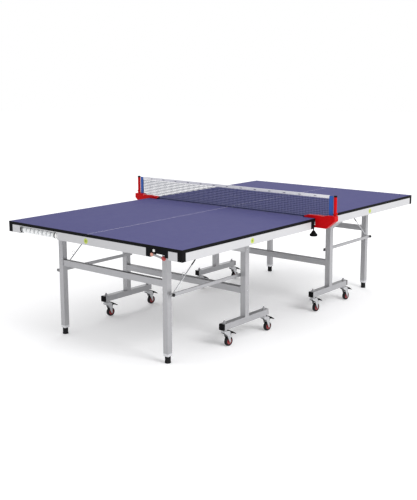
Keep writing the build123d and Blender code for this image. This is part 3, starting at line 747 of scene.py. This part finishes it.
COLUMNS = int(2 * NET_HALF / MESH_PITCH) + 1
ROWS = int((NET_SPAN_Z[1] - NET_SPAN_Z[0]) / MESH_PITCH) + 1
first_y = -(COLUMNS - 1) * MESH_PITCH / 2
first_z = NET_SPAN_Z[1] - (ROWS - 1) * MESH_PITCH
middle_z = (first_z + NET_SPAN_Z[1]) / 2
bpy.ops.mesh.primitive_cylinder_add(
    vertices=5, radius=CORD_R, depth=(ROWS - 1) * MESH_PITCH, location=(NET_X, first_y, middle_z)
)
uprights = bpy.context.object
bpy.ops.object.transform_apply()
row_of(uprights, COLUMNS, (0, MESH_PITCH, 0))
bpy.ops.mesh.primitive_cylinder_add(
    vertices=5,
    radius=CORD_R,
    depth=2 * NET_HALF,
    location=(NET_X, 0, first_z),
    rotation=(pi / 2, 0, 0),
)
courses = bpy.context.object
bpy.ops.object.transform_apply()
row_of(courses, ROWS, (0, 0, MESH_PITCH))
bpy.ops.mesh.primitive_ico_sphere_add(
    subdivisions=1, radius=CORD_R * 1.5, location=(NET_X, first_y, first_z)
)
knots = bpy.context.object
bpy.ops.object.transform_apply()
row_of(knots, COLUMNS, (0, MESH_PITCH, 0))
row_of(knots, ROWS, (0, 0, MESH_PITCH))
bpy.ops.mesh.primitive_cylinder_add(
    vertices=8,
    radius=BOTTOM_CORD_R,
    depth=2 * NET_HALF,
    location=(NET_X, 0, first_z),
    rotation=(pi / 2, 0, 0),
)
bottom_cord = bpy.context.object
bpy.ops.object.transform_apply()
for piece in (uprights, courses, bottom_cord):
    dress(piece, cord_dye)
dress(knots, knot_dye)
netting = joined("netting", [uprights, courses, bottom_cord, knots])
smooth(netting, 80)
settle(netting, "left_top")
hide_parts("net")
cord_run = COLUMNS * (ROWS - 1) * MESH_PITCH + ROWS * 2 * NET_HALF
cord_surface = cord_run * 2 * pi * CORD_R
cord_surface / 2

# Tape and end sleeves. White woven tape folded over the net's top and stitched along its lower
# edge, with small grey woven dashes; blue sleeves folded round the net's ends beside the posts.
TAPE_WHITE = (0.80, 0.80, 0.82, 1)
TAPE_GREY = (0.68, 0.68, 0.71, 1)
DASH_GREY = (0.10, 0.10, 0.16, 1)
SLEEVE_BLUE = (0.035, 0.115, 0.42, 1)
SLEEVE_DARK = (0.022, 0.075, 0.30, 1)
TAPE_HALF, TAPE_Z = 0.852, (0.898, 0.919)
SLEEVE_Y, SLEEVE_Z = (0.851, 0.879), (0.783, 0.915)
CLOTH = 0.0005
THREAD_TURN = 4200
DASH_EVERY, DASH_LONG, DASH_Z = 0.125, 0.020, (0.9045, 0.9090)
STITCH_EVERY, STITCH_LONG, STITCH_Z, STITCH_HALF = 0.004, 0.0028, 0.9005, 0.0004
PAST_THE_END = 10.0


def woven(name, light, dark, dashes):
    """Plain woven cloth, with or without dashes woven in along Y."""
    material, shader, place = finish(name, Specular_IOR_Level=0.1, Sheen_Weight=0.2)
    along, up = place.axis("Y"), place.axis("Z")
    weave = (along * THREAD_TURN).math("SINE") * (up * THREAD_TURN).math("SINE")
    soil = place.noise(30, 4.0, 0.6)
    colour = soil.blend(light, dark)
    if dashes:
        run = along + PAST_THE_END
        dash = (run % DASH_EVERY < DASH_LONG) * (up > DASH_Z[0]) * (up < DASH_Z[1])
        stitch = (abs(up - STITCH_Z) < STITCH_HALF) * (run % STITCH_EVERY < STITCH_LONG)
        colour = dash.blend(colour, DASH_GREY)
        colour = stitch.blend(colour, dark)
        weave = weave - stitch * 2.0
    drive(
        shader,
        Base_Color=colour,
        Roughness=0.8 + soil * 0.15,
        Normal=weave.bump(0.00015, 0.6),
    )
    return material


def folded_cloth(name, length, fold_r, drop, material):
    """Cloth folded over a line along Y: a half round on top and two sides hanging down."""
    bpy.ops.mesh.primitive_cylinder_add(
        vertices=16, radius=fold_r, depth=length, end_fill_type="NOTHING", rotation=(pi / 2, 0, 0)
    )
    cloth = bpy.context.object
    cloth.name = name
    bpy.ops.object.transform_apply()
    bpy.ops.object.mode_set(mode="EDIT")
    bpy.ops.mesh.select_all(action="SELECT")
    bpy.ops.mesh.bisect(plane_co=(0, 0, 0), plane_no=(0, 0, 1), clear_inner=True)
    bpy.ops.mesh.select_all(action="DESELECT")
    bpy.ops.object.mode_set(mode="OBJECT")
    for edge in cloth.data.edges:
        a, b = (cloth.data.vertices[i].co for i in edge.vertices)
        edge.select = max(abs(a.z), abs(b.z)) < fold_r * 0.05
    bpy.ops.object.mode_set(mode="EDIT")
    bpy.ops.mesh.select_mode(type="EDGE")
    for _ in range(3):
        bpy.ops.mesh.extrude_region_move(TRANSFORM_OT_translate={"value": (0, 0, -drop / 3)})
    cuts = max(1, int(length / 0.02))
    bpy.ops.mesh.select_all(action="DESELECT")
    bpy.ops.object.mode_set(mode="OBJECT")
    for edge in cloth.data.edges:
        a, b = (cloth.data.vertices[i].co for i in edge.vertices)
        edge.select = abs(a.y - b.y) > length * 0.9
    bpy.ops.object.mode_set(mode="EDIT")
    bpy.ops.mesh.subdivide(number_cuts=cuts)
    bpy.ops.mesh.select_all(action="SELECT")
    bpy.ops.transform.vertex_random(offset=0.00018, seed=5)
    bpy.ops.mesh.normals_make_consistent(inside=False)
    bpy.ops.object.mode_set(mode="OBJECT")
    thick = cloth.modifiers.new("thick", "SOLIDIFY")
    thick.thickness, thick.offset = CLOTH, 0
    apply_all(cloth)
    smooth(cloth, 50)
    dress(cloth, material)
    return cloth


tape_cloth = woven("tape_cloth", TAPE_WHITE, TAPE_GREY, True)
sleeve_cloth = woven("sleeve_cloth", SLEEVE_BLUE, SLEEVE_DARK, False)
FOLD_R = 0.0016
tape_drop = TAPE_Z[1] - TAPE_Z[0] - FOLD_R - CLOTH
tape = folded_cloth("net_top_tape", 2 * TAPE_HALF, FOLD_R, tape_drop, tape_cloth)
settle(tape, "left_top", Matrix.Translation((NET_X, 0, TAPE_Z[1] - FOLD_R - CLOTH)))
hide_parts("net_tape")
sleeve_drop = SLEEVE_Y[1] - SLEEVE_Y[0] - FOLD_R - CLOTH
sleeve_length = SLEEVE_Z[1] - SLEEVE_Z[0]
for end, side in (("front", -1), ("back", 1)):
    sleeve = folded_cloth(f"{end}_net_sleeve", sleeve_length, FOLD_R * 1.3, sleeve_drop, sleeve_cloth)
    edge = (NET_X, side * (SLEEVE_Y[1] - FOLD_R * 1.3 - CLOTH), sum(SLEEVE_Z) / 2)
    at = Matrix.Translation(edge) @ Matrix.Rotation(-side * pi / 2, 4, "X")
    settle(sleeve, "left_top", at)

# The pieces that were only copied from leave the scene.
for pattern in (bolt, sticker, wheel, foot, post, cap, knob):
    bpy.data.objects.remove(pattern)

# Room: plain white floor and soft studio light.
bpy.ops.mesh.primitive_plane_add(size=60, location=(0, 0, -0.0005))
floor = bpy.context.object
floor.name = "floor"
floor_paint, shader, place = finish("floor_paint", Roughness=0.9, Specular_IOR_Level=0.0)
shader.inputs["Base Color"].default_value = (0.90, 0.90, 0.91, 1)
shader.inputs["Emission Color"].default_value = (1, 1, 1, 1)
shader.inputs["Emission Strength"].default_value = 0.17
dress(floor, floor_paint)

world = bpy.data.worlds.new("studio")
bpy.context.scene.world = world
world.use_nodes = True
world.node_tree.nodes["Background"].inputs["Color"].default_value = (1, 1, 1, 1)
world.node_tree.nodes["Background"].inputs["Strength"].default_value = 1.0

LAMPS = (
    ("key", (-1.0, -7.0, 5.0), 3.5, 310),
    ("rear", (5.0, 4.0, 5.0), 3.0, 60),
)
for name, spot, size, power in LAMPS:
    bpy.ops.object.light_add(type="AREA", location=spot)
    lamp = bpy.context.object
    lamp.name = name
    lamp.data.shape, lamp.data.size, lamp.data.energy = "DISK", size, power
    lamp.rotation_euler = (Vector((0, 0, 0.5)) - Vector(spot)).to_track_quat("-Z", "Y").to_euler()

# Camera: stands off the near left corner, a little above the table, and looks slightly down.
CAMERA_AT = (-4.72521, -3.74024, 1.69964)
HEADING, DIP, ROLL = -50.0774, 9.7903, -0.2379
FILM_MM, LENS_MM = 36, 60.49994
SHIFT = (0.005, -0.0592)
bpy.ops.object.camera_add(location=CAMERA_AT)
camera = bpy.context.object
turn = (
    Matrix.Rotation(radians(HEADING), 4, "Z")
    @ Matrix.Rotation(radians(90 - DIP), 4, "X")
    @ Matrix.Rotation(radians(ROLL), 4, "Z")
)
camera.rotation_euler = turn.to_euler()
camera.data.sensor_width = FILM_MM
camera.data.lens = LENS_MM
camera.data.shift_x, camera.data.shift_y = SHIFT
bpy.context.scene.camera = camera
bpy.context.scene.view_settings.view_transform = "Standard"
